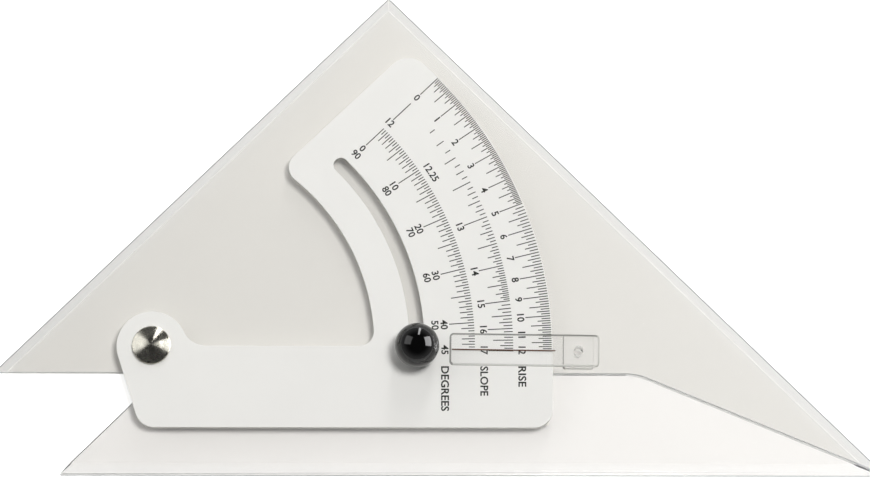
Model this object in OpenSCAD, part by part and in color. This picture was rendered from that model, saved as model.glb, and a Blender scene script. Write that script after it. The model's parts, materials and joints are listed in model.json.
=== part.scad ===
// Adjustable drafting triangle, in millimetres.
// A clear sheet with a right angle carries a clear blade that swings out about a pivot. The blade
// carries a white scale plate, a knob on a stud clamps the plate through its curved slot, and a clear
// cursor with a hairline reads the scales. The sheets lie on the paper at z = 0.
// The plan is worked out about the pivot axis and then moved, so that the origin is the middle of the
// closed outline, on the paper. +X runs along the base edge and +Y points to the apex.

/* [Sheets] */
// Leg of the whole outline, from the apex to the corner where it meets the base edge
leg = 254; // [242:1:300]
// Thickness of the clear sheets
sheet_t = 3; // [2.8:0.1:4]
// Width of the bevel along the drawing edges
bevel_w = 4; // [2:0.1:6]
// Height of the upright land that the bevel leaves at the edge
land_h = 1.2; // [0.6:0.1:2]
// Gap between the triangle and the blade
split_gap = 0.4; // [0.3:0.05:0.8]
// Length cut off the triangle's tip at the left
left_tip_cut = 2; // [0.5:0.1:4]
// Length cut off the blade's tip at the left
blade_tip_cut = 0.8; // [0.5:0.1:4]
// Length cut off the slender tips at the right
right_tip_cut = 5.5; // [2:0.1:8]
// Radius of the bend in the gap
bend_r = 20; // [5:0.5:30]

/* [Pivot place] */
// Distance of the pivot from the height through the apex
pivot_offset = 85; // [80:0.5:90]
// Height of the pivot above the base edge
pivot_h = 46.6; // [42:0.1:50]
// Distance from the pivot down to the middle of the gap
pivot_to_gap = 9.5; // [9:0.1:12]
// Distance from the pivot along the gap to its bend
bend_x = 175; // [160:0.5:190]
// Slope of the line from the pivot through stud and cursor, down from the base edge's direction, in degrees
cursor_tilt = 0.7; // [0:0.1:1.2]
// Largest angle that the blade swings out, in degrees
swing = 45; // [40:1:48]

/* [Scale plate] */
// Thickness of the scale plate
plate_t = 2.5; // [1.5:0.1:4]
// Outer radius of the scales about the pivot
plate_r = 144.5; // [138:0.5:147]
// Inner radius of the arc-shaped band
window_r = 80.2; // [70:0.5:85]
// Width of the arm below the pivot
arm_w = 29.8; // [24:0.2:36]
// Width of the band beyond its zero line
band_margin = 15.5; // [10:0.5:20]
// Radius of the boss about the pivot
boss_r = 12.6; // [10:0.2:15]
// Lean of the arm's left end, in degrees
flank_lean = 18; // [5:1:25]
// Radius of the arm's corners
arm_corner_r = 7; // [3:0.5:10]
// Radius of the band's outer top corner
band_outer_corner_r = 8; // [3:0.5:10]
// Radius of the band's inner top corner
band_inner_corner_r = 6; // [3:0.5:9]
// Radius of the hollow corner between band and arm
window_corner_r = 5.4; // [2:0.2:9]
// Radius of the hollow corner between boss and arm
boss_fillet_r = 9; // [3:0.5:12]
// Radius of the slot's middle line about the pivot
slot_r = 95.6; // [94:0.2:100]
// Thickness of the adhesive film, and of the washer that holds the plate level with it
film_t = 0.2; // [0.1:0.05:0.5]
// Distance of the film from the edges of what it joins
film_inset = 1.5; // [0.5:0.1:4]

/* [Pivot] */
// Radius of the pivot cap
cap_r = 6.95; // [5:0.05:8]
// Height of the cap's upright rim
cap_rim_h = 0.8; // [0.4:0.1:2]
// Height of the cap's shallow cone above the rim
cap_cone_h = 2; // [0.6:0.1:3]
// Radius of the small flat at the cone's tip
cap_tip_r = 1.2; // [0.2:0.1:1.8]
// Outer radius of the pivot post's sleeve
post_r = 3; // [2.8:0.05:4]
// Radius of the cap's stem, inside the sleeve
stem_r = 2; // [1.2:0.05:2.2]
// Radius of the post's flange, let into the underside
flange_r = 6.5; // [5:0.1:7.5]
// Thickness of that flange
flange_t = 1; // [0.6:0.1:1.4]
// Outer radius of the friction washer between triangle and plate
friction_washer_r = 8.5; // [6:0.1:8.5]
// Outer radius of the washer under the cap
cap_washer_r = 6.2; // [5:0.1:8]
// Thickness of the washer under the cap
cap_washer_t = 0.3; // [0.2:0.05:1]

/* [Clamp] */
// Radius of the clamp stud
stud_r = 2.5; // [2:0.05:3]
// Radius of the stud's countersunk head
stud_head_r = 4.6; // [4:0.1:4.8]
// Length of the stud's end inside the knob
stud_grip = 7.5; // [4:0.1:9]
// Play of the stud in the slot, on each side
slot_play = 0.2; // [0.1:0.05:0.5]
// Radius of the clamp washer
clamp_washer_r = 5.5; // [5:0.1:7]
// Thickness of the clamp washer
clamp_washer_t = 0.8; // [0.5:0.1:2]
// Radius of the ball knob
knob_r = 7.95; // [7:0.05:10]
// Radius of the flat seat under the ball
knob_seat_r = 4.5; // [4:0.1:6]
// Outer radius of the threaded insert
insert_r = 3.6; // [3.4:0.05:3.9]
// Length of the threaded insert
insert_len = 9.5; // [9:0.1:11]

/* [Cursor] */
// Gap between the ball knob and the cursor's inner end
cursor_gap = 3.75; // [2:0.05:8]
// Width of the cursor's arm
cursor_w = 11.6; // [8:0.1:14]
// Thickness of the cursor's arm
cursor_t = 1.5; // [1:0.1:3]
// Radius of the arm's corners
cursor_corner_r = 1.5; // [0.5:0.1:3]
// Length of the foot under the arm's outer end
foot_len = 11; // [7:0.1:14]
// Width of the foot
foot_w = 12.4; // [8:0.1:14]
// Gap between the scale plate and the foot
foot_gap = 3.8; // [2:0.1:8]
// Distance from the arm's outer end to the foot
foot_inset = 2; // [1:0.1:3]
// Radius of the foot's upright corners
foot_corner_r = 0.8; // [0.4:0.1:2]
// Radius of the pin that holds the cursor
pin_r = 1.65; // [1:0.05:2.5]
// Depth of the pin in the triangle
pin_depth = 1.8; // [1:0.1:2]
// Width of the hairline
hairline_w = 0.4; // [0.2:0.05:0.8]
// Depth of the hairline's groove
hairline_t = 0.2; // [0.1:0.05:0.5]
// Distance of the hairline from the arm's inner end
hairline_inset = 0.9; // [0.4:0.1:3]
// How far the hairline runs past the scales
hairline_past = 1; // [0:0.1:1.5]

/* [Fits] */
// Radial clearance of pins and sleeves in their holes
fit_clear = 0.05; // [0.02:0.01:0.1]
// How far the pieces in the underside stay above the paper
under_recess = 0.2; // [0.1:0.05:0.4]
// Clearance between the plate and the clamp washer above it
clamp_clear = 0.1; // [0.05:0.05:0.3]
// Clearance between the plate and the cursor above it
cursor_clear = 0.3; // [0.2:0.05:0.6]
// Room left at the blind ends of the stem and the stud
end_clear = 0.5; // [0.2:0.1:1]
// Extra length of the slot past each end of the swing, in degrees
slot_over = 0.6; // [0.3:0.1:1.5]

/* [Hidden] */
$fn = 96;

// How far a cutting shape runs past what it cuts
past = 1;
// How far joined shapes reach into each other
join = 1;
// How far an arc reaches past the straight edge that it runs into, so that they cross cleanly
crossing = 0.003;

// Colours
clear_sheet = [0.90, 0.90, 0.88, 0.45];
clear_cursor = [0.93, 0.93, 0.91, 0.5];
white_plastic = [0.95, 0.94, 0.92];
nickel = [0.72, 0.70, 0.66];
steel = [0.60, 0.61, 0.62];
brass = [0.76, 0.62, 0.32];
black_phenolic = [0.05, 0.05, 0.05];
nylon = [0.88, 0.87, 0.83];
adhesive = [0.93, 0.92, 0.86, 0.6];
red_fill = [0.55, 0.16, 0.10];

// Plan of the sheets, about the pivot
height = leg / sqrt(2);
apex = [pivot_offset, height - pivot_h];
triangle_edge = pivot_to_gap - split_gap / 2;
blade_edge = pivot_to_gap + split_gap / 2;
triangle_left = apex.x - apex.y - triangle_edge + left_tip_cut;
right_end = apex.x + height - right_tip_cut;
gap_slant = atan2(pivot_h - pivot_to_gap, apex.x + height - bend_x);
blade_corner = [blade_edge * tan(swing / 2), -blade_edge];
blade_left = blade_corner.x - (pivot_h - blade_edge) / tan(swing) + blade_tip_cut;
middle = [(triangle_left + right_end) / 2, (apex.y - pivot_h) / 2];

// Heights above the paper
plate_z = sheet_t + film_t;
plate_top = plate_z + plate_t;
cap_z = plate_top + cap_washer_t;
flange_top = under_recess + flange_t;
clamp_washer_z = plate_top + clamp_clear;
seat_z = clamp_washer_z + clamp_washer_t;
knob_z = seat_z + sqrt(knob_r * knob_r - knob_seat_r * knob_seat_r);
cursor_z = plate_top + cursor_clear;
cursor_top = cursor_z + cursor_t;

// Plan of the clamp and the cursor
slot_w = 2 * (stud_r + slot_play);
cursor_start = slot_r + knob_r + cursor_gap;
foot_start = plate_r + foot_gap;
foot_end = foot_start + foot_len;
cursor_end = foot_end + foot_inset;
pin_x = foot_start + foot_len / 2;
hairline_start = cursor_start + hairline_inset;
hairline_end = plate_r + hairline_past;

function unit(v) = v / norm(v);
function polar(r, angle) = r * [cos(angle), sin(angle)];

// The bend in the gap's middle line, moved d towards the triangle
function gap_bend(d) = [bend_x + d * tan(gap_slant / 2), d - pivot_to_gap];

// Height of the slanted edge that starts at a bend, at x
function slant_y(bend, x) = bend.y - (x - bend.x) * tan(gap_slant);

// Corners of an outline are [x, y, radius]. At corner i these give the directions to its neighbours,
// half the angle between them, and the centre of its rounding.
function plan(corner) = [corner.x, corner.y];
function before(c, i) = unit(plan(c[(i + len(c) - 1) % len(c)]) - plan(c[i]));
function after(c, i) = unit(plan(c[(i + 1) % len(c)]) - plan(c[i]));
function half_angle(c, i) = acos(before(c, i) * after(c, i)) / 2;
function is_hollow(c, i) = cross(before(c, i), after(c, i)) > 0;
function rounding_centre(c, i) =
    plan(c[i]) + unit(before(c, i) + after(c, i)) * c[i].z / sin(half_angle(c, i));

// The directions from that centre, square to the edge before and the edge after
function square_to(along, towards) = unit(towards - along * (towards * along));
function to_edge_before(c, i) = square_to(before(c, i), plan(c[i]) - rounding_centre(c, i));
function to_edge_after(c, i) = square_to(after(c, i), plan(c[i]) - rounding_centre(c, i));

// What lies beyond a rounding circle, between the edges square to the directions a and b from its
// centre, and as far as reach past those edges
module corner_piece(centre, r, a, b, reach = join) {
    size = r + reach;
    difference() {
        polygon([centre, centre + size * a, centre + size * (a + b) / (1 + a * b), centre + size * b]);
        translate(centre) circle(r + crossing);
    }
}

module outline_corner(c, i) {
    corner_piece(rounding_centre(c, i), c[i].z, to_edge_before(c, i), to_edge_after(c, i));
}

// The outline's points at corner i. At a hollow rounded corner it runs straight from edge to edge.
function cut_across(c, i) = c[i].z > 0 && is_hollow(c, i);
function outline_points(c, i) = !cut_across(c, i) ? [plan(c[i])] : [
    rounding_centre(c, i) + c[i].z * to_edge_before(c, i),
    rounding_centre(c, i) + c[i].z * to_edge_after(c, i)
];

// An outline that runs anticlockwise through corners, each rounded to its own radius
module rounded_outline(c) {
    places = [0 : len(c) - 1];
    difference() {
        polygon([for (i = places) each outline_points(c, i)]);
        for (i = places)
            if (cut_across(c, i)) translate(rounding_centre(c, i)) circle(c[i].z + crossing);
            else if (c[i].z > 0) outline_corner(c, i);
    }
}

// A rectangle from x0 to x1, centred on the cursor's line, with rounded corners
module rounded_bar(x0, x1, width, r) {
    rounded_outline([
        [x0, -width / 2, r], [x1, -width / 2, r], [x1, width / 2, r], [x0, width / 2, r]
    ]);
}

// What the bevel takes off a sheet along the edge from p to q, with the sheet on the left
module edge_bevel(p, q) {
    rise = (sheet_t - land_h) / bevel_w;
    low = land_h - past * rise;
    high = sheet_t + past * rise;
    along = q - p;
    translate([p.x, p.y, 0])
        rotate(atan2(along.y, along.x))
            translate([-bevel_w, 0, 0])
                rotate([90, 0, 90])
                    linear_extrude(norm(along) + 2 * bevel_w)
                        polygon([[-past, low], [bevel_w + past, high], [-past, high]]);
}

// A ring that lies flat, from z up
module ring(outer_r, inner_r, z, thickness) {
    translate([0, 0, z])
        difference() {
            cylinder(r = outer_r, h = thickness);
            translate([0, 0, -past]) cylinder(r = inner_r, h = thickness + 2 * past);
        }
}

// Moves what is drawn about the pivot to the part's own origin
module at_pivot() {
    translate([-middle.x, -middle.y, 0]) children();
}

// Turns what is drawn along the cursor's line to its slope, and moves it with the pivot
module at_cursor() {
    at_pivot() rotate(-cursor_tilt) children();
}

// Moves what is drawn about the stud to its place
module at_stud() {
    at_cursor() translate([slot_r, 0, 0]) children();
}

// The clear sheet with the right angle
module triangle() {
    bend = gap_bend(split_gap / 2);
    left = [triangle_left, apex.y - (apex.x - triangle_left)];
    right = [right_end, apex.y - (right_end - apex.x)];
    color(clear_sheet)
        at_pivot()
            difference() {
                linear_extrude(sheet_t)
                    rounded_outline([
                        [apex.x, apex.y, 0],
                        [left.x, left.y, 0],
                        [triangle_left, -triangle_edge, 0],
                        [bend.x, bend.y, bend_r],
                        [right_end, slant_y(bend, right_end), 0],
                        [right.x, right.y, 0]
                    ]);
                edge_bevel(apex, left);
                edge_bevel(right, apex);
                post_hole();
                rotate(-cursor_tilt) stud_hole();
                rotate(-cursor_tilt) pin_hole(sheet_t - pin_depth, sheet_t + past);
            }
}

// The hole for the pivot post, with the recess for its flange
module post_hole() {
    translate([0, 0, -past]) cylinder(r = post_r + fit_clear, h = sheet_t + 2 * past);
    translate([0, 0, -past]) cylinder(r = flange_r + fit_clear, h = flange_top + past);
}

// The countersunk hole for the clamp stud
module stud_hole() {
    hole_r = stud_r + fit_clear;
    sink_r = stud_head_r + fit_clear;
    sink_top = under_recess + stud_head_r - stud_r;
    translate([slot_r, 0, 0])
        rotate_extrude()
            polygon([
                [0, -past], [sink_r, -past], [sink_r, under_recess], [hole_r, sink_top],
                [hole_r, sheet_t + past], [0, sheet_t + past]
            ]);
}

// The hole for the cursor's pin, from z0 to z1
module pin_hole(z0, z1) {
    translate([pin_x, 0, z0]) cylinder(r = pin_r + fit_clear, h = z1 - z0);
}

// The clear blade, with the base edge
module blade() {
    bend = gap_bend(-split_gap / 2);
    left_y = blade_corner.y - (blade_corner.x - blade_left) * tan(swing);
    color(clear_sheet)
        at_pivot()
            difference() {
                linear_extrude(sheet_t)
                    rounded_outline([
                        [blade_corner.x, blade_corner.y, 0],
                        [blade_left, left_y, 0],
                        [blade_left, -pivot_h, 0],
                        [right_end, -pivot_h, 0],
                        [right_end, slant_y(bend, right_end), 0],
                        [bend.x, bend.y, bend_r]
                    ]);
                edge_bevel([blade_left, -pivot_h], [right_end, -pivot_h]);
            }
}

// The white plate with the scales, fixed to the blade
module scale_plate() {
    color(white_plastic)
        at_pivot()
            translate([0, 0, plate_z])
                linear_extrude(plate_t)
                    difference() {
                        union() {
                            plate_arm();
                            plate_band();
                            plate_boss();
                            window_fillet();
                        }
                        circle(post_r + fit_clear);
                        rotate(-cursor_tilt) slot();
                    }
}

// The straight arm, which leans towards the boss at its left end
module plate_arm() {
    tangent = polar(boss_r, 180 + flank_lean);
    foot_x = tangent.x + (arm_w + tangent.y) * tan(flank_lean);
    end_x = plate_r - crossing;
    rounded_outline([
        [0, 0, 0],
        [tangent.x, tangent.y, 0],
        [foot_x, -arm_w, arm_corner_r],
        [end_x, -arm_w, arm_corner_r],
        [end_x, 0, 0]
    ]);
}

// The arc-shaped band that carries the scales, drawn along its zero line
module plate_band() {
    outer_v = band_margin - band_outer_corner_r;
    outer = [sqrt((plate_r - band_outer_corner_r) ^ 2 - outer_v ^ 2), outer_v];
    inner_v = band_margin - band_inner_corner_r;
    inner = [sqrt((window_r + band_inner_corner_r) ^ 2 - inner_v ^ 2), inner_v];
    far = 2 * plate_r;
    zero_angle = swing - cursor_tilt;
    rotate(zero_angle)
        difference() {
            circle(plate_r, $fn = 360);
            circle(window_r, $fn = 360);
            translate([-far, band_margin]) square([2 * far, far]);
            translate([-far, -far]) square([far, 2 * far]);
            rotate(-zero_angle) translate([-far, -far - join]) square([2 * far, far]);
            corner_piece(outer, band_outer_corner_r, [0, 1], unit(outer));
            corner_piece(inner, band_inner_corner_r, [0, 1], -unit(inner));
        }
}

// The boss about the pivot, blended into the arm's top edge
module plate_boss() {
    centre = [sqrt((boss_r + boss_fillet_r) ^ 2 - boss_fillet_r ^ 2), boss_fillet_r];
    circle(boss_r + crossing);
    corner_piece(centre, boss_fillet_r, -unit(centre), [0, -1], boss_r);
}

// The hollow corner between the band's inner arc and the arm's top edge
module window_fillet() {
    centre = [sqrt((window_r - window_corner_r) ^ 2 - window_corner_r ^ 2), window_corner_r];
    corner_piece(centre, window_corner_r, [0, -1], unit(centre));
}

// The curved slot that the clamp stud runs in
module slot() {
    first = -slot_over;
    last = swing + slot_over;
    far = 2 * plate_r;
    intersection() {
        difference() {
            circle(slot_r + slot_w / 2, $fn = 360);
            circle(slot_r - slot_w / 2, $fn = 360);
        }
        polygon([[0, 0], polar(far, first), polar(far, (first + last) / 2), polar(far, last)]);
    }
    for (angle = [first, last]) translate(polar(slot_r, angle)) circle(slot_w / 2 + crossing);
}

// The film that fixes the plate's arm to the blade
module adhesive_film() {
    left = blade_corner.x + film_inset;
    right = plate_r - film_inset;
    bottom = -arm_w + film_inset;
    top = -blade_edge - film_inset;
    color(adhesive)
        at_pivot()
            translate([left, bottom, sheet_t]) cube([right - left, top - bottom, film_t]);
}

// The flanged sleeve that the plate turns on, fixed in the triangle
module pivot_post() {
    color(nickel)
        at_pivot()
            difference() {
                union() {
                    translate([0, 0, under_recess]) cylinder(r = flange_r, h = flange_t);
                    translate([0, 0, under_recess]) cylinder(r = post_r, h = cap_z - under_recess);
                }
                translate([0, 0, flange_top]) cylinder(r = stem_r + fit_clear, h = cap_z);
            }
}

// The thin washer between triangle and plate
module friction_washer() {
    color(nylon) at_pivot() ring(friction_washer_r, post_r + fit_clear, sheet_t, film_t);
}

// The thin washer between plate and cap
module cap_washer() {
    color(nylon) at_pivot() ring(cap_washer_r, post_r + fit_clear, plate_top, cap_washer_t);
}

// The turned cap, with its stem in the post
module pivot_cap() {
    stem_z = flange_top + end_clear;
    color(nickel)
        at_pivot() {
            translate([0, 0, stem_z]) cylinder(r = stem_r, h = cap_z + cap_rim_h - stem_z);
            translate([0, 0, cap_z]) cylinder(r = cap_r, h = cap_rim_h);
            translate([0, 0, cap_z + cap_rim_h])
                cylinder(r1 = cap_r, r2 = cap_tip_r, h = cap_cone_h);
        }
}

// The countersunk stud that stands up through the slot
module clamp_stud() {
    head_h = stud_head_r - stud_r;
    color(steel)
        at_stud() {
            translate([0, 0, under_recess]) cylinder(r1 = stud_head_r, r2 = stud_r, h = head_h);
            translate([0, 0, under_recess])
                cylinder(r = stud_r, h = seat_z + stud_grip - under_recess);
        }
}

// The washer that bridges the slot under the knob
module clamp_washer() {
    color(steel) at_stud() ring(clamp_washer_r, stud_r + fit_clear, clamp_washer_z, clamp_washer_t);
}

// The ball knob, cut flat where it seats on the washer
module knob() {
    color(black_phenolic)
        at_stud()
            difference() {
                translate([0, 0, knob_z]) sphere(r = knob_r);
                translate([-2 * knob_r, -2 * knob_r, seat_z - 2 * knob_r])
                    cube([4 * knob_r, 4 * knob_r, 2 * knob_r]);
                translate([0, 0, seat_z - past])
                    cylinder(r = insert_r + fit_clear, h = insert_len + past);
            }
}

// The threaded insert in the knob
module knob_insert() {
    color(brass)
        at_stud()
            difference() {
                translate([0, 0, seat_z]) cylinder(r = insert_r, h = insert_len);
                translate([0, 0, seat_z - past])
                    cylinder(r = stud_r + fit_clear, h = stud_grip + end_clear + past);
            }
}

// The clear arm that reaches over the scales
module cursor_window() {
    color(clear_cursor)
        at_cursor()
            difference() {
                translate([0, 0, cursor_z])
                    linear_extrude(cursor_t)
                        rounded_bar(cursor_start, cursor_end, cursor_w, cursor_corner_r);
                hairline_bar();
                pin_hole(cursor_z - past, cursor_top + past);
            }
}

// The bar of the hairline, in the underside of the cursor's arm
module hairline_bar() {
    translate([hairline_start, -hairline_w / 2, cursor_z])
        cube([hairline_end - hairline_start, hairline_w, hairline_t]);
}

// The block that carries the arm's outer end on the triangle
module cursor_foot() {
    color(clear_cursor)
        at_cursor()
            difference() {
                translate([0, 0, sheet_t])
                    linear_extrude(cursor_z - sheet_t)
                        rounded_bar(foot_start, foot_end, foot_w, foot_corner_r);
                pin_hole(sheet_t - past, cursor_z + past);
            }
}

// The pin through arm and foot into the triangle
module cursor_pin() {
    z0 = sheet_t - pin_depth;
    color(clear_cursor)
        at_cursor() translate([pin_x, 0, z0]) cylinder(r = pin_r, h = cursor_top - z0);
}

// The colour in the hairline's groove
module hairline() {
    color(red_fill) at_cursor() hairline_bar();
}

triangle();
blade();
scale_plate();
adhesive_film();
pivot_post();
friction_washer();
cap_washer();
pivot_cap();
clamp_stud();
clamp_washer();
knob();
knob_insert();
cursor_window();
cursor_foot();
cursor_pin();
hairline();
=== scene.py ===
"""An adjustable drafting triangle: clear sheets, scale plate, pivot, ball knob and hairline cursor."""

import json
import math

import bpy
from bpy.props import FloatProperty, FloatVectorProperty, PointerProperty
from mathutils import Matrix, Vector


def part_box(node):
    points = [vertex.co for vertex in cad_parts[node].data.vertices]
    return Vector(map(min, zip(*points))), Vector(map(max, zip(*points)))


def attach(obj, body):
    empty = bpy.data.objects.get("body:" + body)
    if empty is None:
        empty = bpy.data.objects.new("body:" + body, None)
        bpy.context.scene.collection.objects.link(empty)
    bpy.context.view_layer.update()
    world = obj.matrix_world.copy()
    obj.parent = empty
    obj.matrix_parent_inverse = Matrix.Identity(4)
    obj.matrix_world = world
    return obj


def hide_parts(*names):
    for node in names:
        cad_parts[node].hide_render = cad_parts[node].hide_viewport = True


bl_info = {
    "name": "Adjustable drafting triangle",
    "version": (1, 0, 0),
    "blender": (4, 5, 0),
    "location": "3D View > Sidebar > Drafting",
    "description": "Dresses the solids of an adjustable drafting triangle and sets up its studio",
    "category": "Add Mesh",
}

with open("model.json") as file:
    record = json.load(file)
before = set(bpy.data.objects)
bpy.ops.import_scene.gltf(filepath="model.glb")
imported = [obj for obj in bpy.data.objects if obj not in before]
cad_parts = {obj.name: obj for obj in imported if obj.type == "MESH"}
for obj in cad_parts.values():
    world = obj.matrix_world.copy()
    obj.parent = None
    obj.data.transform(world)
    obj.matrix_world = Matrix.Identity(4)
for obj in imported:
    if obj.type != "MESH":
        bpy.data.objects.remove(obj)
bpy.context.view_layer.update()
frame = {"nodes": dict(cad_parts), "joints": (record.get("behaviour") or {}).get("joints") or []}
MM = 0.001
JOINTS = {joint["name"]: joint for joint in frame["joints"]}
PIVOT = Vector(JOINTS["blade_swing"]["pos_m"])
STUD = Vector(JOINTS["knob_turn"]["pos_m"])
SWING = JOINTS["blade_swing"]["range_deg"][1]
CURSOR_ANGLE = math.degrees(math.atan2(STUD.y - PIVOT.y, STUD.x - PIVOT.x))
# The zero line of the scales at rest, which the full swing brings down to the cursor
ZERO_ANGLE = CURSOR_ANGLE + SWING
PLATE_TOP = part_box("scale_plate")[1].z


def linear(code):
    """The linear colour of an sRGB hex code such as #EDECE7."""
    parts = [int(code[i:i + 2], 16) / 255 for i in (1, 3, 5)]
    return tuple(p / 12.92 if p <= 0.04045 else ((p + 0.055) / 1.055) ** 2.4 for p in parts)


WHITE = linear("#FFFFFF")


def rgba(colour):
    """A colour with full alpha, as a shader socket takes it."""
    return (*colour, 1.0)


def size_of(name, description, millimetres):
    """A length that a user would change, given in millimetres."""
    return FloatProperty(name=name, description=description, default=millimetres * MM,
                         subtype="DISTANCE", unit="LENGTH", precision=5)


def angle_of(name, description, degrees):
    """An angle that a user would change, given in degrees."""
    return FloatProperty(name=name, description=description, default=math.radians(degrees), subtype="ANGLE")


def colour_of(name, description, code):
    """A colour that a user would change, given as an sRGB hex code."""
    return FloatVectorProperty(name=name, description=description, default=linear(code),
                               subtype="COLOR", size=3, min=0, max=1)


def level_of(name, description, value):
    """A plain level that a user would change."""
    return FloatProperty(name=name, description=description, default=value, min=0)


class SheetLooks(bpy.types.PropertyGroup):
    """Finish of the clear sheets and the white plate."""

    sheet_edge: size_of("Sheet edge", "Rounding of the clear sheets' edges", 0.45)
    plate_edge: size_of("Plate edge", "Rounding of the white plate's edges", 0.2)
    acrylic: colour_of("Acrylic", "Body colour of the clear triangle", "#F3F2F0")
    blade: colour_of("Blade", "Body colour of the clear blade", "#FBFAF9")
    bevel: colour_of("Bevel", "Tint of the triangle's polished bevels", "#F5F5F6")
    blade_bevel: colour_of("Blade bevel", "Tint of the blade's polished bevel", "#FFFFFF")
    bevel_line: size_of("Bevel line", "Width of the lines along the bevels", 0.35)
    # Painted shade: the near edges' grey darkens them and the gap between triangle and blade
    edge: colour_of("Edge", "Colour of the sheets' milled edges towards the user", "#C6C8C8")
    # Painted shade: the far edges' dark colour draws a dark line along the far edges and the low border of
    # the far bevels
    far_edge: colour_of("Far edge", "Colour of the sheets' milled edges away from the user", "#5E6266")
    haze: level_of("Haze", "Share of the light that the sheets' faces scatter", 0.06)
    scuffs: level_of("Scuffs", "Share of the light that the sheets' scuffed undersides scatter", 0.13)
    plate: colour_of("Plate", "Colour of the white plate", "#ECEBE7")


class ScaleLooks(bpy.types.PropertyGroup):
    """Sizes of the printed scales, as radii about the pivot."""

    degree_radius: size_of("Degree scale", "Radius that the degree marks reach", 116.5)
    slope_radius: size_of("Slope scale", "Radius that the slope marks reach", 130.3)
    rise_radius: size_of("Rise scale", "Radius that the rise marks reach", 144.2)
    line_width: size_of("Line width", "Width of a printed mark", 0.34)
    ink_height: size_of("Ink height", "Height of the ink above the plate", 0.02)
    number_height: size_of("Number height", "Height of a numeral", 2.65)
    legend_height: size_of("Legend height", "Height of a capital in the legends", 2.9)
    legend_start: size_of("Legend start", "Distance of the legends below the pivot's line", 7.4)
    ink: colour_of("Ink", "Colour of the printing", "#2B2B24")


class FittingLooks(bpy.types.PropertyGroup):
    """Finish of pivot, clamp and cursor."""

    fitting_edge: size_of("Fitting edge", "Rounding of small fittings' edges", 0.12)
    cursor_edge: size_of("Cursor edge", "Rounding of the cursor's edges", 0.2)
    cursor_rim: size_of("Cursor rim", "Width of the line along the rim of the cursor's arm", 0.6)
    # The rim colours are painted: shade on the rim at the back and the left, a paler line on the rim at the
    # front
    cursor_far: colour_of("Cursor far rim", "Colour of the cursor's rim away from the user", "#8F8F8A")
    cursor_near: colour_of("Cursor near rim", "Colour of the cursor's rim towards the user", "#CBCBC6")
    turning_pitch: size_of("Turning pitch", "Distance between the tool marks on the cap", 0.36)
    turning_depth: size_of("Turning depth", "Depth of the tool marks on the cap", 0.012)
    thread_pitch: size_of("Thread pitch", "Pitch of the stud's thread", 0.8)
    nickel: colour_of("Nickel", "Colour of the plated cap", "#DAD7CB")
    knob: colour_of("Knob", "Colour of the ball knob", "#060606")
    hairline: colour_of("Hairline", "Colour of the hairline", "#633C24")


class StageLooks(bpy.types.PropertyGroup):
    """Camera, light and floor."""

    view_elevation: angle_of("Elevation", "Height of the camera above the horizon", 76.27)
    view_azimuth: angle_of("Azimuth", "Turn of the camera about the object", -3.32)
    view_roll: angle_of("Roll", "Turn of the picture", 3.38)
    view_distance: FloatProperty(name="Distance", description="Distance of the camera", default=1.1,
                                 subtype="DISTANCE", unit="LENGTH")
    view_width: size_of("View width", "Width of the view in the object's plane", 318.1)
    aim_x: size_of("Aim x", "Sideways place of the view's centre", 0.31)
    aim_y: size_of("Aim y", "Place of the view's centre towards the apex", -2.07)
    floor: colour_of("Floor", "Colour of the floor", "#F2F2F0")
    floor_lift: level_of("Floor lift", "Light that the floor adds where it is seen", 0.65)
    floor_under: level_of("Floor under", "Light that the floor adds at the left in glass and gloss", 0.08)
    floor_right: level_of("Floor right", "Light that the floor adds at the right in glass and gloss", 0.28)
    sky: level_of("Sky", "Level of the soft light from above", 0.04)
    horizon: level_of("Horizon", "Level of the soft light from low down", 0.6)
    backdrop: level_of("Backdrop", "Level of the surroundings where they are seen through the sheets", 0.75)
    window_power: level_of("Window power", "Power of the large light seen only in gloss, in watts", 20.0)
    soft_power: level_of("Soft power", "Power of the soft light overhead, in watts", 1.3)
    key_power: level_of("Key power", "Power of the light high up that casts the shadows, in watts", 57.5)
    strip_power: level_of("Strip power", "Power of the narrow light behind, in watts", 3.2)
    fill_power: level_of("Fill power", "Power of the weak soft light at the left, in watts", 7.5)


def looks(group):
    """One of the property groups of the scene."""
    return getattr(bpy.context.scene.drafting_triangle, group)


class DraftingTriangle(bpy.types.PropertyGroup):
    """All that a user would change."""

    sheets: PointerProperty(type=SheetLooks)
    scales: PointerProperty(type=ScaleLooks)
    fittings: PointerProperty(type=FittingLooks)
    stage: PointerProperty(type=StageLooks)


# Materials

ACRYLIC_IOR = 1.49
# Roughness that clear faces reach where they are most worn
POLISHED = 0.03
SCUFFED = 0.12


def add_node(tree, kind, inputs=None, **settings):
    """Adds a node, sets its properties, and sets or links its inputs."""
    node = tree.nodes.new("ShaderNode" + kind)
    for name, value in settings.items():
        setattr(node, name, value)
    for socket, value in (inputs or {}).items():
        if isinstance(value, bpy.types.NodeSocket):
            tree.links.new(value, node.inputs[socket])
        else:
            node.inputs[socket].default_value = value
    return node


def new_material(name):
    """An empty material, its node tree and the frame's coordinates in metres."""
    material = bpy.data.materials.new(name)
    material.use_nodes = True
    tree = material.node_tree
    tree.nodes.clear()
    return material, tree, add_node(tree, "TexCoord").outputs["Object"]


def show(tree, shader):
    """Sends a shader to the material's output."""
    add_node(tree, "OutputMaterial", {"Surface": shader})


def mottle(tree, place, grain, low, high):
    """A value that drifts between low and high over patches of a grain in millimetres."""
    noise = add_node(tree, "TexNoise", {"Vector": place, "Scale": 1 / (grain * MM), "Detail": 3.0})
    ranged = add_node(tree, "MapRange", {"Value": noise.outputs["Fac"], "From Min": 0.3, "From Max": 0.7,
                                         "To Min": low, "To Max": high})
    return ranged.outputs["Result"]


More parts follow.
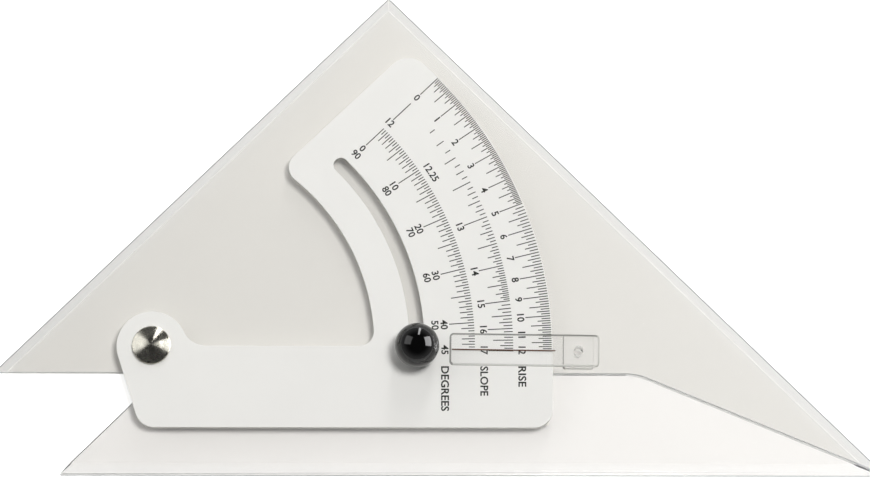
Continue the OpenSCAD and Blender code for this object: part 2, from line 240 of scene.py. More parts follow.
def shades(tree, place, grain, colour, darker):
    """A colour that drifts to a darker shade of itself over patches of a grain in millimetres."""
    share = mottle(tree, place, grain, 0.0, 1.0)
    dark = tuple(channel * darker for channel in colour)
    mix = add_node(tree, "Mix", {"Factor": share, "A": rgba(colour), "B": rgba(dark)}, data_type="RGBA")
    return mix.outputs["Result"]


def ripple(tree, place, grain, depth):
    """A bump of a grain and a depth in millimetres."""
    noise = add_node(tree, "TexNoise", {"Vector": place, "Scale": 1 / (grain * MM), "Detail": 2.0})
    bump = add_node(tree, "Bump", {"Height": noise.outputs["Fac"], "Distance": depth * MM, "Strength": 1.0})
    return bump.outputs["Normal"]


def show_clear(tree, glass, tint):
    """Shows a clear shader that lets the light for what lies under it pass straight through."""
    passing = add_node(tree, "BsdfTransparent", {"Color": rgba(tint)})
    light = add_node(tree, "LightPath")
    lit = add_node(tree, "Math", {0: light.outputs["Is Shadow Ray"], 1: light.outputs["Is Diffuse Ray"]},
                   operation="MAXIMUM")
    mix = add_node(tree, "MixShader", {
        0: lit.outputs[0], 1: glass.outputs["BSDF"], 2: passing.outputs["BSDF"]})
    show(tree, mix.outputs["Shader"])


def polished_acrylic(name, tint, roughest, haze=0.0, ior=ACRYLIC_IOR):
    """Acrylic, polished: clear with a faint tint, wiping marks that soften its gloss, and some haze."""
    material, tree, place = new_material(name)
    glass = add_node(tree, "BsdfPrincipled", {
        "Base Color": rgba(tint), "Transmission Weight": 1.0 - haze, "IOR": ior,
        "Roughness": mottle(tree, place, 6.0, 0.01, roughest)})
    show_clear(tree, glass, tint)
    return material


def milled_acrylic(name, tint, clear):
    """Acrylic as the cutter or the mould leaves it at an edge: satin, so the edge shows as a line; the tint
    that each use gives paints light and shade onto that line.
    """
    material, tree, place = new_material(name)
    shader = add_node(tree, "BsdfPrincipled", {
        "Base Color": shades(tree, place, 0.9, tint, 0.92), "Transmission Weight": clear,
        "IOR": ACRYLIC_IOR, "Roughness": mottle(tree, place, 0.5, 0.45, 0.6)})
    show_clear(tree, shader, WHITE)
    return material


def satin_polystyrene():
    """Moulded white polystyrene: an even satin white with a very fine grain and faint warm clouds."""
    material, tree, place = new_material("satin white polystyrene")
    shader = add_node(tree, "BsdfPrincipled", {
        "Base Color": shades(tree, place, 18.0, looks("sheets").plate, 0.985),
        "Roughness": mottle(tree, place, 3.0, 0.52, 0.62), "IOR": 1.5,
        "Normal": ripple(tree, place, 0.6, 0.004)})
    show(tree, shader.outputs["BSDF"])
    return material


def printing_ink():
    """Screen printing ink: a flat olive black that lies a little unevenly."""
    material, tree, place = new_material("screen printing ink")
    shader = add_node(tree, "BsdfPrincipled", {
        "Base Color": shades(tree, place, 0.8, looks("scales").ink, 0.6),
        "Roughness": mottle(tree, place, 1.0, 0.45, 0.65), "IOR": 1.5})
    show(tree, shader.outputs["BSDF"])
    return material


def turned_nickel():
    """Nickel plate over a turned face: warm grey metal whose rings draw the light out into spokes."""
    material, tree, place = new_material("nickel plate, turned")
    centred = add_node(tree, "Mapping", {"Vector": place, "Location": -PIVOT})
    # The real tool marks are finer than a pixel, so these rings are as coarse as they need to be to show:
    # a wave of scale 1 runs 20 radians in a metre, and this one runs one radian in a pitch
    pitch = looks("fittings").turning_pitch
    rings = add_node(tree, "TexWave", {
        "Vector": centred.outputs["Vector"], "Scale": 0.05 / pitch,
        "Distortion": 0.6, "Detail": 2.0, "Detail Scale": 3.0}, wave_type="RINGS", rings_direction="Z")
    bump = add_node(tree, "Bump", {"Height": rings.outputs["Fac"], "Distance": 0.004 * MM, "Strength": 1.0})
    around = add_node(tree, "Tangent", direction_type="RADIAL", axis="Z")
    shader = add_node(tree, "BsdfPrincipled", {
        "Base Color": shades(tree, place, 2.0, looks("fittings").nickel, 0.9), "Metallic": 1.0,
        "Roughness": mottle(tree, place, 1.5, 0.24, 0.3), "Anisotropic": 0.85, "Anisotropic Rotation": 0.25,
        "Normal": bump.outputs["Normal"], "Tangent": around.outputs["Tangent"]})
    show(tree, shader.outputs["BSDF"])
    return material


def worked_metal(name, code, grain, smooth, rough):
    """Machined metal: cloudy gloss with a fine tooth from the tool or the plating."""
    material, tree, place = new_material(name)
    shader = add_node(tree, "BsdfPrincipled", {
        "Base Color": shades(tree, place, 3 * grain, linear(code), 0.85), "Metallic": 1.0,
        "Roughness": mottle(tree, place, grain, smooth, rough),
        "Normal": ripple(tree, place, grain, 0.004)})
    show(tree, shader.outputs["BSDF"])
    return material


def polished_phenolic():
    """Phenolic resin, moulded and polished: deep black with sharp highlights that waver slightly."""
    material, tree, place = new_material("black phenolic, polished")
    shader = add_node(tree, "BsdfPrincipled", {
        "Base Color": shades(tree, place, 5.0, looks("fittings").knob, 0.7), "IOR": 1.5,
        "Roughness": mottle(tree, place, 2.5, 0.05, 0.1), "Normal": ripple(tree, place, 4.0, 0.006)})
    show(tree, shader.outputs["BSDF"])
    return material


def natural_nylon():
    """Nylon washer stock: milky, waxy and slightly cloudy."""
    material, tree, place = new_material("natural nylon")
    shader = add_node(tree, "BsdfPrincipled", {
        "Base Color": shades(tree, place, 2.0, linear("#E4E1D6"), 0.93),
        "Roughness": mottle(tree, place, 1.0, 0.4, 0.55), "IOR": 1.53})
    show(tree, shader.outputs["BSDF"])
    return material


def transfer_adhesive():
    """Transfer adhesive: a milky film with small cloudy patches where it wetted out."""
    material, tree, place = new_material("transfer adhesive")
    shader = add_node(tree, "BsdfPrincipled", {
        "Base Color": shades(tree, place, 4.0, linear("#EFEDE4"), 0.94),
        "Roughness": mottle(tree, place, 2.0, 0.35, 0.6), "IOR": 1.47})
    show(tree, shader.outputs["BSDF"])
    return material


def line_paint():
    """Red brown paint wiped into an engraved line: a little uneven along its length."""
    material, tree, place = new_material("red paint in an engraved line")
    shader = add_node(tree, "BsdfPrincipled", {
        "Base Color": shades(tree, place, 1.5, looks("fittings").hairline, 0.75),
        "Roughness": mottle(tree, place, 1.0, 0.35, 0.5), "IOR": 1.5})
    show(tree, shader.outputs["BSDF"])
    return material


# Modelling helpers

SMOOTH_ANGLE = math.radians(50)
FLAT_ANGLE = math.radians(0.5)
MERGE_GAP = 0.001 * MM


def start():
    """Leaves edit mode and selects nothing, so that the next operator meets only its own piece."""
    if bpy.context.object and bpy.context.object.mode != "OBJECT":
        bpy.ops.object.mode_set(mode="OBJECT")
    bpy.ops.object.select_all(action="DESELECT")


def pick(piece):
    """Makes a piece the only selected one, and the active one."""
    start()
    piece.select_set(True)
    bpy.context.view_layer.objects.active = piece


def apply_modifier(piece, kind, **settings):
    """Adds a modifier to a piece and applies it."""
    pick(piece)
    modifier = piece.modifiers.new(kind.title(), kind)
    for name, value in settings.items():
        setattr(modifier, name, value)
    bpy.ops.object.modifier_apply(modifier=modifier.name)


def node_copy(name, node, edge, segments=2, sharpest=35):
    """A copy of a solid with its flat faces made whole and its edges of over an angle in degrees rounded."""
    source = frame["nodes"][node]
    piece = bpy.data.objects.new(name, source.data.copy())
    bpy.context.collection.objects.link(piece)
    pick(piece)
    bpy.ops.object.mode_set(mode="EDIT")
    bpy.ops.mesh.select_all(action="SELECT")
    bpy.ops.mesh.remove_doubles(threshold=MERGE_GAP)
    bpy.ops.mesh.dissolve_limited(angle_limit=FLAT_ANGLE)
    bpy.ops.object.mode_set(mode="OBJECT")
    apply_modifier(piece, "BEVEL", width=edge, segments=segments, limit_method="ANGLE",
                   angle_limit=math.radians(sharpest), harden_normals=False)
    return piece


def piece_box(piece):
    """The low and the high corner of a piece."""
    corners = [Vector(corner) for corner in piece.bound_box]
    # The first and the seventh corner of a box lie opposite each other
    return corners[0], corners[6]


def thin(piece, gap):
    """Takes a gap of air off the top and the bottom of a piece, so that light passes from clear to clear."""
    low, high = piece_box(piece)
    pick(piece)
    bpy.ops.object.mode_set(mode="EDIT")
    bpy.ops.mesh.select_all(action="SELECT")
    share = 1 - 2 * gap / (high.z - low.z)
    bpy.ops.transform.resize(value=(1, 1, share), center_override=(low + high) / 2)
    bpy.ops.object.mode_set(mode="OBJECT")


def inset_faces(piece, chosen, width):
    """Splits a strip of a width off all round each patch of the faces that chosen picks out."""
    pick(piece)
    bpy.context.tool_settings.mesh_select_mode = (False, False, True)
    bpy.ops.object.mode_set(mode="EDIT")
    bpy.ops.mesh.select_all(action="DESELECT")
    bpy.ops.object.mode_set(mode="OBJECT")
    for face in piece.data.polygons:
        face.select = chosen(face)
    bpy.ops.object.mode_set(mode="EDIT")
    bpy.ops.mesh.inset(thickness=width)
    bpy.ops.object.mode_set(mode="OBJECT")


def turned(name, axis, profile, segments=96):
    """A round piece, drawn up from a disc through the profile's radii and heights in metres."""
    start()
    radius, height = profile[0]
    bpy.ops.mesh.primitive_circle_add(vertices=segments, radius=radius, fill_type="NGON",
                                      location=(axis.x, axis.y, height))
    piece = bpy.context.object
    piece.name = name
    bpy.ops.object.transform_apply(location=True)
    bpy.ops.object.mode_set(mode="EDIT")
    bpy.ops.mesh.select_all(action="SELECT")
    for next_radius, next_height in profile[1:]:
        bpy.ops.mesh.extrude_region_move(
            TRANSFORM_OT_translate={"value": (0, 0, next_height - height)})
        share = next_radius / radius
        bpy.ops.transform.resize(value=(share, share, 1), center_override=(axis.x, axis.y, next_height))
        radius, height = next_radius, next_height
    bpy.ops.mesh.select_all(action="SELECT")
    bpy.ops.mesh.normals_make_consistent(inside=False)
    bpy.ops.object.mode_set(mode="OBJECT")
    return piece


def cut(piece, size, place):
    """Cuts a block of a size at a place out of a piece."""
    start()
    bpy.ops.mesh.primitive_cube_add(size=1, location=place)
    block = bpy.context.object
    block.scale = size
    bpy.ops.object.transform_apply(location=True, scale=True)
    apply_modifier(piece, "BOOLEAN", operation="DIFFERENCE", object=block, solver="EXACT")
    bpy.data.objects.remove(block)


def finish_piece(piece, material, body, slot, *nodes):
    """Gives a piece its smooth shading, material and body, and hides the solids that it stands for. Its slot
    is not used.
    """
    pick(piece)
    bpy.ops.object.shade_smooth_by_angle(angle=SMOOTH_ANGLE)
    apply_modifier(piece, "WEIGHTED_NORMAL", keep_sharp=True)
    piece.data.materials.clear()
    piece.data.materials.append(material)
    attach(piece, body)
    if nodes:
        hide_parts(*nodes)
    start()


def dress_node(node, material):
    """Gives a solid that stays as it is a better material."""
    for slot in frame["nodes"][node].material_slots:
        slot.material = material


def joined(name, pieces):
    """Joins pieces into one."""
    pick(pieces[0])
    for piece in pieces[1:]:
        piece.select_set(True)
    bpy.ops.object.join()
    pieces[0].name = name
    return pieces[0]


# Scales

RUN = 12
# Lengths of the marks by rank, and the rank of each step in half degrees and in sixteenths
MARK_LENGTHS = [length * MM for length in (9.0, 7.2, 4.7, 3.2, 2.2)]
DEGREE_RANKS = {20: 0, 10: 1, 2: 2, 1: 4}
RULED_RANKS = {16: 0, 8: 1, 4: 2, 2: 3, 1: 4}


def rank_of(count, ranks):
    """The rank of the largest step that a count is a multiple of."""
    return next(rank for step, rank in ranks.items() if count % step == 0)


def degree_marks():
    """Reading angle and rank of each mark of the degree scale, from rank 0 for the longest."""
    for half in range(2 * SWING + 1):
        yield half / 2, rank_of(half, DEGREE_RANKS)


def ruled_marks(first, coarse, last, angle):
    """Angle and rank of marks in sixteenths from first to coarse, and in eighths from there to last."""
    for sixteenth in range(16 * first, 16 * last + 1):
        if sixteenth <= 16 * coarse or sixteenth % 2 == 0:
            yield angle(sixteenth / 16), rank_of(sixteenth, RULED_RANKS)


def rise_angle(rise):
    """Reading angle of a rise on the run."""
    return math.degrees(math.atan2(rise, RUN))


def slope_angle(slope):
    """Reading angle of a slope's length over the run."""
    return math.degrees(math.acos(RUN / slope))


def scale_place(radius, reading):
    """Places what is drawn upright at the origin on the plate, at a radius and a reading angle."""
    angle = math.radians(ZERO_ANGLE - reading)
    out = Vector((math.cos(angle), math.sin(angle), 0))
    centre = Vector((PIVOT.x, PIVOT.y, PLATE_TOP))
    return Matrix.Translation(centre + radius * out) @ Matrix.Rotation(angle - math.pi / 2, 4, "Z")


def mark_masters():
    """One printed mark of each length, reaching in from the origin."""
    scales = looks("scales")
    masters = []
    for length in MARK_LENGTHS:
        start()
        bpy.ops.mesh.primitive_plane_add(size=1, location=(0, -length / 2, 0))
        mark = bpy.context.object
        mark.scale = (scales.line_width, length, 1)
        bpy.ops.object.transform_apply(location=True, scale=True)
        bpy.ops.object.mode_set(mode="EDIT")
        bpy.ops.mesh.select_all(action="SELECT")
        bpy.ops.mesh.extrude_region_move(TRANSFORM_OT_translate={"value": (0, 0, scales.ink_height)})
        bpy.ops.mesh.select_all(action="SELECT")
        bpy.ops.mesh.normals_make_consistent(inside=False)
        bpy.ops.object.mode_set(mode="OBJECT")
        masters.append(mark)
    return masters


def printed_text(body, height, place, length=None):
    """A line of printed text of a height, and of a length where one is given, centred on its place."""
    start()
    bpy.ops.object.text_add()
    text = bpy.context.object
    text.data.body = body
    text.data.align_x = "CENTER"
    text.data.align_y = "CENTER"
    text.data.extrude = looks("scales").ink_height / 2
    # The printed strokes are a little bolder than the font's own
    text.data.offset = 0.022
    text.data.resolution_u = 3
    bpy.ops.object.convert(target="MESH")
    text = bpy.context.object
    low, high = piece_box(text)
    scale = height / (high.y - low.y)
    stretch = length / (high.x - low.x) if length else scale
    centre = (low + high) / 2
    flat = Matrix.Diagonal((stretch, scale, 1, 1)) @ Matrix.Translation((-centre.x, -centre.y, -low.z))
    text.data.transform(place @ flat)
    return text


# Operators

# Upward part of the normal: edges lie below the first, ruling bevels between the first and the second,
# roundings between the second and the third, and level faces above the third
STEEP, BEVELLED, LEVEL = 0.9, 0.918, 0.999
# Material slots of a clear sheet, and those of a cursor piece
TOP, BEVEL, NEAR_EDGE_SHADE, HIGHLIGHT_LINE, FAR_SHADE_LINE, UNDERSIDE = range(6)
CLEAR, FAR_RIM_SHADE, NEAR_RIM = range(3)


class DRAFTING_OT_sheets(bpy.types.Operator):
    """Dress the clear triangle and the clear blade"""

    bl_idname = "drafting.sheets"
    bl_label = "Clear sheets"

    def execute(self, context):
        sheets = looks("sheets")
        # Painted shade: this grey milled acrylic darkens the near edges and the gap between triangle and
        # blade
        milled = milled_acrylic("clear cast acrylic, milled edge", sheets.edge, 0.55)
        # Painted shade: a dark line along the far edges and the low border of the far bevels
        far = milled_acrylic("clear cast acrylic, milled far edge", sheets.far_edge, 0.2)
        # Painted highlight: a light line along the high border of the far bevels and along their roundings
        painted_highlight = milled_acrylic("clear cast acrylic, scraped corner", linear("#EFEFEB"), 0.3)
        for node, tint, bevel_tint in (("triangle", sheets.acrylic, sheets.bevel),
                                       ("blade", sheets.blade, sheets.blade_bevel)):
            acrylic = polished_acrylic(f"clear cast acrylic, satin {node} face", tint, POLISHED, sheets.haze)
            polished = polished_acrylic(f"clear cast acrylic, polished {node} bevel", bevel_tint, POLISHED)
            scuffed = polished_acrylic(f"clear cast acrylic, scuffed {node} underside", tint, SCUFFED,
                                       sheets.scuffs)
            piece = node_copy("clear_" + node, node, sheets.sheet_edge, sharpest=15)
            # A strip all round each bevel, so that painted shade and highlight lines can lie along its
            # borders
            inset_faces(piece, self.is_bevel, sheets.bevel_line)
            finish_piece(piece, acrylic, node, "clear_acrylic", node)
            for material in (polished, milled, painted_highlight, far, scuffed):
                piece.data.materials.append(material)
            self.share_out(piece)
        return {"FINISHED"}

    def is_bevel(self, face):
        """Whether a face lies on a ruling bevel."""
        return STEEP < face.normal.z < BEVELLED

    def share_out(self, piece):
        """Gives a sheet's faces their material slots: painted shade on its edges and along the low border of
        its far bevels, and a painted highlight along their high border.
        """
        bevels = [face for face in piece.data.polygons if self.is_bevel(face)]
        heights = [piece.data.vertices[i].co.z for face in bevels for i in face.vertices]
        low, high = min(heights), max(heights)
        border = 0.2
        for face in piece.data.polygons:
            far_side = face.normal.y > 0.1
            climb = (face.center.z - low) / (high - low)
            if abs(face.normal.z) < STEEP:
                face.material_index = FAR_SHADE_LINE if far_side else NEAR_EDGE_SHADE
            elif self.is_bevel(face):
                face.material_index = BEVEL
                if far_side and climb < border:
                    face.material_index = FAR_SHADE_LINE
                elif far_side and climb > 1 - border:
                    face.material_index = HIGHLIGHT_LINE
            elif 0 < face.normal.z < LEVEL:
                face.material_index = HIGHLIGHT_LINE if far_side else BEVEL
            elif face.normal.z < 0:
                face.material_index = UNDERSIDE
            else:
                face.material_index = TOP


class DRAFTING_OT_plate(bpy.types.Operator):
    """Dress the white scale plate and the film under it"""

    bl_idname = "drafting.plate"
    bl_label = "Scale plate"

    def execute(self, context):
        piece = node_copy("white_scale_plate", "scale_plate", looks("sheets").plate_edge, 3)
        finish_piece(piece, satin_polystyrene(), "blade", "white_plastic", "scale_plate")
        dress_node("adhesive_film", transfer_adhesive())
        return {"FINISHED"}


class DRAFTING_OT_marks(bpy.types.Operator):
    """Print the marks of the three scales"""

    bl_idname = "drafting.marks"
    bl_label = "Scale marks"

    def execute(self, context):
        scales = looks("scales")
        rows = [
            (scales.degree_radius, degree_marks()),
            (scales.slope_radius, ruled_marks(RUN, 15, 17, slope_angle)),
            (scales.rise_radius, ruled_marks(0, 5, 12, rise_angle)),
        ]
        masters = mark_masters()
        marks = []
        for radius, row in rows:
            for reading, rank in row:
                mark = bpy.data.objects.new("mark", masters[rank].data.copy())
                mark.data.transform(scale_place(radius, reading))
                context.collection.objects.link(mark)
                marks.append(mark)
        for master in masters:
            bpy.data.objects.remove(master)
        finish_piece(joined("printed_marks", marks), printing_ink(), "blade", "white_plastic")
        return {"FINISHED"}


class DRAFTING_OT_numbers(bpy.types.Operator):
    """Print the numbers and legends of the three scales"""

    bl_idname = "drafting.numbers"
    bl_label = "Scale numbers"

    def execute(self, context):
        scales = looks("scales")
        degree_row, other_row, slope_row, rise_row = (r * MM for r in (105.7, 102.4, 119.8, 133.5))
        rows = [(degree_row, reading, str(reading)) for reading in (0, 10, 20, 30, 40, 45)]
        rows += [(other_row, reading, str(90 - reading)) for reading in (0, 10, 20, 30, 40)]
        rows += [(slope_row, slope_angle(slope), f"{slope:g}") for slope in (12, 12.25, 13, 14, 15, 16, 17)]
        rows += [(rise_row, rise_angle(rise), str(rise)) for rise in range(13)]
        numbers = [printed_text(body, scales.number_height, scale_place(radius, reading))
                   for radius, reading, body in rows]
        finish_piece(joined("printed_numbers", numbers), printing_ink(), "blade", "white_plastic")
        legends = []
        for body, radius, length in (("DEGREES", degree_row, 16.4), ("SLOPE", slope_row, 10.8),
                                     ("RISE", rise_row, 7.5)):
            middle = Vector((PIVOT.x + radius, PIVOT.y - scales.legend_start - length * MM / 2, PLATE_TOP))
            place = Matrix.Translation(middle) @ Matrix.Rotation(-math.pi / 2, 4, "Z")
            legends.append(printed_text(body, scales.legend_height, place, length * MM))
        finish_piece(joined("printed_legends", legends), printing_ink(), "blade", "white_plastic")
        return {"FINISHED"}


class DRAFTING_OT_pivot(bpy.types.Operator):
    """Turn the pivot cap, and dress the post and its washers"""

    bl_idname = "drafting.pivot"
    bl_label = "Pivot"

    def execute(self, context):
        fittings = looks("fittings")
        nickel = turned_nickel()
        low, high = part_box("pivot_cap")
        rim_r = (high.x - low.x) / 2
        stem_r = 2.0 * MM
        head_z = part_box("cap_washer")[1].z
        rim_top = head_z + 0.8 * MM
        chamfer = 0.18 * MM
        profile = [(stem_r, low.z), (stem_r, head_z), (rim_r - chamfer, head_z), (rim_r, head_z + chamfer),
                   (rim_r, rim_top - chamfer), (rim_r - chamfer, rim_top)]
        tip_r = 1.2 * MM
        cone_r = rim_r - chamfer
        slope = (high.z - rim_top) / (rim_r - tip_r)
        round_r = 3.4 * MM
        rings = round((cone_r - round_r) / fittings.turning_pitch)
        for i in range(1, 2 * rings + 1):
            radius = cone_r + i / (2 * rings) * (round_r - cone_r)
            dip = fittings.turning_depth if i % 2 else 0
            profile.append((radius, rim_top + slope * (cone_r - radius) - dip))
        # The rounded tip flattens out from the cone's slope
        base_z = rim_top + slope * (cone_r - round_r)
        for share in (0.8, 0.6, 0.4, 0.2, 0.05):
            profile.append((share * round_r, base_z + slope * round_r * (1 - share ** 2) / 2))
        cap = turned("turned_pivot_cap", PIVOT, profile)
        finish_piece(cap, nickel, "triangle", "nickel_plate", "pivot_cap")
        dress_node("pivot_post", nickel)
        nylon = natural_nylon()
        for node in ("friction_washer", "cap_washer"):
            dress_node(node, nylon)
        return {"FINISHED"}


class DRAFTING_OT_clamp(bpy.types.Operator):
    """Model the clamp stud and the ball knob, and dress the washer and the insert"""

    bl_idname = "drafting.clamp"
    bl_label = "Clamp"

    def execute(self, context):
        fittings = looks("fittings")
        steel = worked_metal("zinc plated steel", "#B4B6B8", 0.6, 0.25, 0.4)
        self.make_stud(fittings, steel)
        self.make_knob()
        washer = node_copy("clamp_washer_plated", "clamp_washer", fittings.fitting_edge)
        finish_piece(washer, steel, "clamp_washer", "steel", "clamp_washer")
        dress_node("knob_insert", worked_metal("machined brass", "#C8A660", 0.5, 0.2, 0.32))
        return {"FINISHED"}

    def make_stud(self, fittings, steel):
        """The countersunk stud with its slot and its thread."""
        low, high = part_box("clamp_stud")
        head_r = (high.x - low.x) / 2
        shank_r = 2.5 * MM
        root_r = shank_r - 0.5 * fittings.thread_pitch
        neck_z = low.z + head_r - shank_r
        thread_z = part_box("scale_plate")[0].z
        profile = [(head_r, low.z), (shank_r, neck_z), (shank_r, thread_z)]
        turns = int((high.z - thread_z) / fittings.thread_pitch) - 1
        for turn in range(turns):
            base = thread_z + turn * fittings.thread_pitch
            profile.append((root_r, base + 0.5 * fittings.thread_pitch))
            profile.append((shank_r, base + fittings.thread_pitch))
        profile.append((root_r, high.z))
        stud = turned("slotted_clamp_stud", STUD, profile, 48)
        slot_width, slot_depth = 1.2 * MM, 1.0 * MM
        cut(stud, (3 * head_r, slot_width, 2 * slot_depth), (STUD.x, STUD.y, low.z))
        finish_piece(stud, steel, "triangle", "steel", "clamp_stud")

    def make_knob(self):
        """The ball knob, cut flat and bored for its insert."""
        low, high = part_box("knob")
        radius = (high.x - low.x) / 2
        insert_low, insert_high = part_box("knob_insert")
        bore_r = (insert_high.x - insert_low.x) / 2
        centre = Vector((STUD.x, STUD.y, high.z - radius))
        start()
        bpy.ops.mesh.primitive_uv_sphere_add(segments=96, ring_count=64, radius=radius, location=centre)
        knob = bpy.context.object
        knob.name = "ball_knob"
        bpy.ops.object.transform_apply(location=True)
        bpy.ops.object.mode_set(mode="EDIT")
        bpy.ops.mesh.select_all(action="SELECT")
        bpy.ops.mesh.bisect(plane_co=(STUD.x, STUD.y, low.z), plane_no=(0, 0, 1), use_fill=True,
                            clear_inner=True)
        seat_r = math.sqrt(radius ** 2 - (centre.z - low.z) ** 2)
        bpy.ops.mesh.inset(thickness=seat_r - bore_r)
        bpy.ops.mesh.extrude_region_move(
            TRANSFORM_OT_translate={"value": (0, 0, insert_high.z - low.z)})
        bpy.ops.object.mode_set(mode="OBJECT")
        finish_piece(knob, polished_phenolic(), "knob", "black_phenolic", "knob")


class DRAFTING_OT_cursor(bpy.types.Operator):
    """Dress the clear cursor, its foot, its pin and its hairline"""

    bl_idname = "drafting.cursor"
    bl_label = "Cursor"

    def execute(self, context):
        fittings = looks("fittings")
        clear = polished_acrylic("clear moulded acrylic", WHITE, POLISHED)
        # Cement bends the light nearly as much as the acrylic does, so that joints hardly show
        cemented = polished_acrylic("clear moulded acrylic, cemented", WHITE, POLISHED, ior=1.2)
        bedded = polished_acrylic("clear moulded acrylic, bedded in cement", WHITE, POLISHED, ior=1.08)
        # Painted shade on the rim at the back and the left, and a paler painted line on the rim at the front
        far = milled_acrylic("clear moulded acrylic, far rim", fittings.cursor_far, 0.2)
        near = milled_acrylic("clear moulded acrylic, near rim", fittings.cursor_near, 0.4)
        air_gap = 0.03 * MM
        for name, node, edge, material in (("cursor_arm", "cursor_window", fittings.cursor_edge, clear),
                                           ("cursor_block", "cursor_foot", fittings.cursor_edge, cemented),
                                           ("cursor_rivet", "cursor_pin", fittings.fitting_edge, bedded)):
            piece = node_copy(name, node, edge)
            if node == "cursor_window":
                inset_faces(piece, lambda face: face.normal.z > LEVEL, fittings.cursor_rim)
            else:
                thin(piece, air_gap)
            finish_piece(piece, material, "triangle", "clear_cursor", node)
            if node != "cursor_pin":
                piece.data.materials.append(far)
                piece.data.materials.append(near)
                self.share_out(piece, 2 * fittings.cursor_rim)
        dress_node("hairline", line_paint())
        return {"FINISHED"}

    def share_out(self, piece, rim):
        """Gives a cursor piece's faces their material slots, with painted shade on its rim at the back and
        the left.
        """
        low, high = piece_box(piece)
        pin_low, pin_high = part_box("cursor_pin")
        pin = (pin_low + pin_high) / 2
        upright = 0.3
        for face in piece.data.polygons:
            place = face.center
            border = min(place.x - low.x, high.x - place.x, place.y - low.y, high.y - place.y)
            in_bore = (place - pin).xy.length < pin_high.x - pin_low.x
            at_rim = abs(face.normal.z) < upright or (border < rim and face.normal.z > 0)
            shaded = high.y - place.y < rim or place.x - low.x < rim
            if in_bore or not at_rim:
                face.material_index = CLEAR
            else:
                face.material_index = FAR_RIM_SHADE if shaded else NEAR_RIM


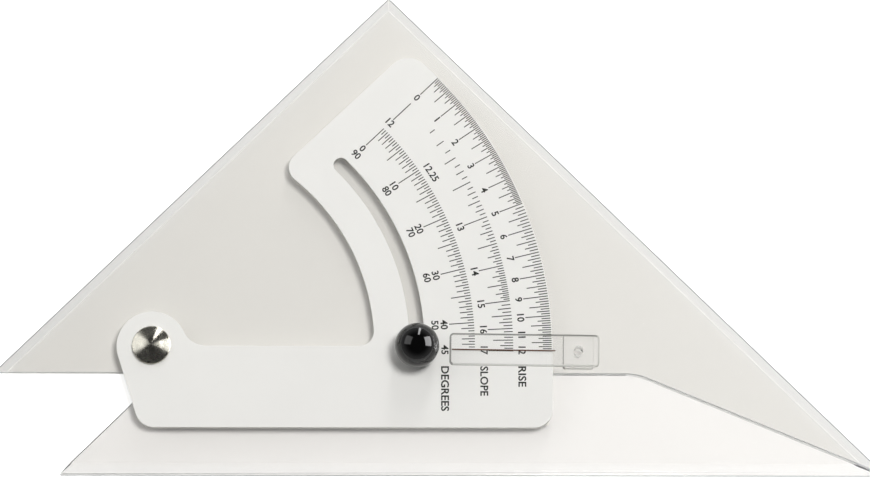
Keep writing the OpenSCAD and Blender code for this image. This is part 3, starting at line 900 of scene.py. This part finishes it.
class DRAFTING_OT_stage(bpy.types.Operator):
    """Set up the floor, the soft studio light and the camera"""

    bl_idname = "drafting.stage"
    bl_label = "Stage"

    def execute(self, context):
        stage = looks("stage")
        self.make_floor(stage)
        self.make_sky(context, stage)
        self.make_lamps(stage)
        self.make_camera(context, stage)
        context.scene.view_settings.view_transform = "Standard"
        return {"FINISHED"}

    def make_floor(self, stage):
        """White paper that takes the object's shadow, and is lifted to white where the camera sees it."""
        start()
        gap = 0.2 * MM
        # Half the object's width, over which the paper grows brighter in glass and gloss
        reach = 0.15
        bpy.ops.mesh.primitive_plane_add(size=30, location=(0, 0, -gap))
        floor = bpy.context.object
        floor.name = "floor"
        material, tree, place = new_material("matt white paper sweep")
        paper = add_node(tree, "BsdfDiffuse", {"Color": shades(tree, place, 400.0, stage.floor, 0.995)})
        light = add_node(tree, "LightPath")
        across = add_node(tree, "SeparateXYZ", {"Vector": place}).outputs["X"]
        level = add_node(tree, "MapRange", {
            "Value": across, "From Min": -reach, "From Max": reach,
            "To Min": stage.floor_under, "To Max": stage.floor_right})
        indirect = add_node(tree, "Math", {
            0: light.outputs["Is Glossy Ray"], 1: light.outputs["Is Transmission Ray"]}, operation="MAXIMUM")
        under = add_node(tree, "Math", {
            0: indirect.outputs[0], 1: level.outputs["Result"]}, operation="MULTIPLY")
        lift = add_node(tree, "Math", {
            0: light.outputs["Is Camera Ray"], 1: stage.floor_lift, 2: under.outputs[0]},
            operation="MULTIPLY_ADD")
        glow = add_node(tree, "Emission", {"Strength": lift.outputs[0]})
        both = add_node(tree, "AddShader", {0: paper.outputs["BSDF"], 1: glow.outputs["Emission"]})
        show(tree, both.outputs["Shader"])
        floor.data.materials.append(material)

    def make_sky(self, context, stage):
        """Soft light from all round, brightest low down, and bright all over where the sheets show it."""
        world = bpy.data.worlds.new("soft studio")
        context.scene.world = world
        world.use_nodes = True
        tree = world.node_tree
        tree.nodes.clear()
        way = add_node(tree, "TexCoord").outputs["Generated"]
        height = add_node(tree, "SeparateXYZ", {"Vector": way}).outputs["Z"]
        level = add_node(tree, "MapRange", {
            "Value": height, "From Min": 0.0, "From Max": 0.7,
            "To Min": stage.horizon, "To Max": stage.sky}, interpolation_type="SMOOTHSTEP")
        light = add_node(tree, "LightPath")
        through = add_node(tree, "Math", {
            0: light.outputs["Is Transmission Ray"], 1: stage.backdrop}, operation="MULTIPLY")
        seen = add_node(tree, "Math", {
            0: level.outputs["Result"], 1: through.outputs[0]}, operation="MAXIMUM")
        sky = add_node(tree, "Background", {"Strength": seen.outputs[0]})
        add_node(tree, "OutputWorld", {"Surface": sky.outputs["Background"]})

    def make_lamps(self, stage):
        """The lights: one that shows only in gloss, two overhead that only light, and two weak ones."""
        window = self.make_lamp("window_light", stage.window_power, size=(1.0, 0.85), distance=1.3,
                                azimuth=12, elevation=30)
        window.visible_diffuse = False
        soft = self.make_lamp("soft_light", stage.soft_power, size=(0.9, 0.9), distance=1.3,
                              azimuth=60, elevation=78)
        key = self.make_lamp("key_light", stage.key_power, size=(0.8, 0.8), distance=3.0,
                             azimuth=27, elevation=72)
        for lamp in (soft, key):
            lamp.visible_glossy = False
            lamp.visible_transmission = False
        self.make_lamp("strip_light", stage.strip_power, size=(0.14, 0.85), distance=1.0,
                       azimuth=80, elevation=24)
        self.make_lamp("fill_light", stage.fill_power, size=(1.3, 1.2), distance=1.8,
                       azimuth=160, elevation=40)

    def make_lamp(self, name, power, size, distance, azimuth, elevation):
        """A soft rectangular light, placed by angles in degrees from +X and from the floor."""
        around, up = math.radians(azimuth), math.radians(elevation)
        way = Vector((math.cos(around) * math.cos(up), math.sin(around) * math.cos(up), math.sin(up)))
        start()
        bpy.ops.object.light_add(type="AREA", location=distance * way,
                                 rotation=(-way).to_track_quat("-Z", "Y").to_euler())
        lamp = bpy.context.object
        lamp.name = name
        lamp.data.energy = power
        lamp.data.shape = "RECTANGLE"
        lamp.data.size, lamp.data.size_y = size
        lamp.visible_camera = False
        return lamp

    def make_camera(self, context, stage):
        """A long lens that looks down on the object."""
        up, around = stage.view_elevation, stage.view_azimuth
        ahead = Vector((-math.sin(around) * math.cos(up), math.cos(around) * math.cos(up), -math.sin(up)))
        right = Vector((math.cos(around), math.sin(around), 0))
        turned_right = Matrix.Rotation(-stage.view_roll, 3, ahead) @ right
        above = turned_right.cross(ahead)
        place = Matrix((turned_right, above, -ahead)).transposed().to_4x4()
        place.translation = Vector((stage.aim_x, stage.aim_y, 0)) - stage.view_distance * ahead
        start()
        bpy.ops.object.camera_add()
        camera = bpy.context.object
        camera.matrix_world = place
        camera.data.sensor_width = 36
        camera.data.lens = camera.data.sensor_width * stage.view_distance / stage.view_width
        camera.data.clip_end = 60
        context.scene.camera = camera


class DRAFTING_PT_panel(bpy.types.Panel):
    """The drafting triangle's operators and sizes"""

    bl_label = "Drafting triangle"
    bl_space_type = "VIEW_3D"
    bl_region_type = "UI"
    bl_category = "Drafting"

    def draw(self, context):
        for operator in OPERATORS:
            self.layout.operator(operator.bl_idname)
        for group in ("sheets", "scales", "fittings", "stage"):
            box = self.layout.box()
            values = looks(group)
            for name in values.__annotations__:
                box.prop(values, name)


OPERATORS = (DRAFTING_OT_sheets, DRAFTING_OT_plate, DRAFTING_OT_marks, DRAFTING_OT_numbers, DRAFTING_OT_pivot,
             DRAFTING_OT_clamp, DRAFTING_OT_cursor, DRAFTING_OT_stage)
CLASSES = (SheetLooks, ScaleLooks, FittingLooks, StageLooks, DraftingTriangle, *OPERATORS, DRAFTING_PT_panel)


def register():
    """Adds the classes and the scene's settings."""
    for cls in CLASSES:
        bpy.utils.register_class(cls)
    bpy.types.Scene.drafting_triangle = PointerProperty(type=DraftingTriangle)


def unregister():
    """Takes the scene's settings and the classes away again."""
    del bpy.types.Scene.drafting_triangle
    for cls in reversed(CLASSES):
        bpy.utils.unregister_class(cls)


def main():
    """Registers the add-on and makes every piece."""
    register()
    bpy.ops.drafting.sheets()
    bpy.ops.drafting.plate()
    bpy.ops.drafting.marks()
    bpy.ops.drafting.numbers()
    bpy.ops.drafting.pivot()
    bpy.ops.drafting.clamp()
    bpy.ops.drafting.cursor()
    bpy.ops.drafting.stage()


if __name__ == "__main__":
    main()
